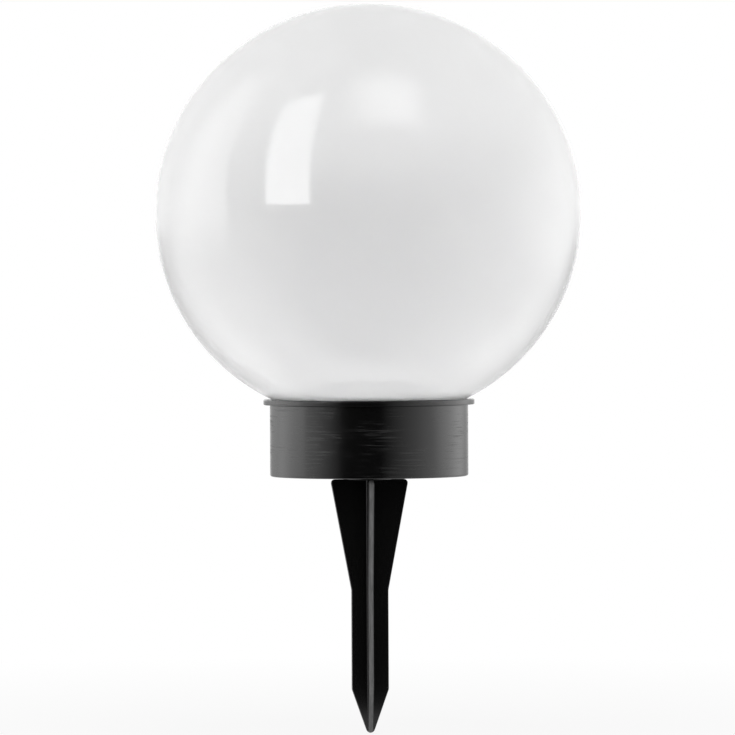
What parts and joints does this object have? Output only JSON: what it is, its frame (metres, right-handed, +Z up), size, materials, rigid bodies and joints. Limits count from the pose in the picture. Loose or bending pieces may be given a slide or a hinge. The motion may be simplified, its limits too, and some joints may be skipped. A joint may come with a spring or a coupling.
{
  "type": "garden globe light",
  "caption": "Opal globe on a round black base with a cross-bladed ground stake; a solar panel, lamps, battery and switch sit inside the base.",
  "frame": {"origin": "on the lamp's upright axis at the soil line, which is the top edge of the stake's blades", "axes": "+Z up along the lamp's axis, -Y towards the front with the switch, +X to the right"},
  "size_m": [0.2, 0.2, 0.3422],
  "materials": {
    "opal_plastic": "gloss",
    "black_plastic": "semi-gloss",
    "black_deck": "matte",
    "rubber": "matte",
    "steel": "satin",
    "foam_tape": "matte",
    "panel_board": "matte",
    "silicon": "gloss",
    "tinned_copper": "satin",
    "resin": "gloss",
    "lamp_lens": "gloss",
    "board_green": "satin",
    "chip_black": "matte",
    "ferrite": "matte",
    "capacitor_sleeve": "gloss",
    "resistor_paint": "gloss",
    "cell_case": "satin",
    "cell_sleeve": "gloss",
    "red_lead": "satin",
    "black_lead": "satin"
  },
  "bodies": {
    "stake": {"ground_stake": "black_plastic"},
    "base": {"base_housing": "black_plastic", "rim_ring": "black_plastic", "neck_gasket": "rubber", "module_deck": "black_deck", "deck_screws": "steel", "panel_tape": "foam_tape", "panel_board": "panel_board", "solar_cells": "silicon", "cell_ribbons": "tinned_copper", "panel_resin": "resin", "lamp_lenses": "lamp_lens", "lamp_leads": "tinned_copper", "circuit_board": "board_green", "board_screws": "steel", "driver_chip": "chip_black", "power_coil": "ferrite", "capacitor": "capacitor_sleeve", "resistors": "resistor_paint", "battery_can": "cell_case", "battery_sleeve": "cell_sleeve", "spring_plate": "tinned_copper", "button_plate": "tinned_copper", "contact_spring": "steel", "switch_plate": "steel", "switch_can": "steel", "switch_terminals": "tinned_copper", "switch_screws": "steel", "red_leads": "red_lead", "black_leads": "black_lead"},
    "battery_door": {"battery_door": "black_plastic", "door_seal": "rubber", "door_screws": "steel"},
    "switch_knob": {"switch_knob": "black_plastic"},
    "globe": {"globe_shade": "opal_plastic"}
  },
  "joints": [
    {"name": "lamp_lift", "type": "slide", "parent": "stake", "child": "base", "axis": [0, 0, 1], "range_m": [0, 0.03]},
    {"name": "globe_lift", "type": "slide", "parent": "base", "child": "globe", "axis": [0, 0, 1], "range_m": [0, 0.08]},
    {"name": "door_drop", "type": "slide", "parent": "base", "child": "battery_door", "axis": [0, 0, -1], "range_m": [0, 0.02]},
    {"name": "switch_slide", "type": "slide", "parent": "base", "child": "switch_knob", "axis": [1, 0, 0], "range_m": [0, 0.003]}
  ]
}
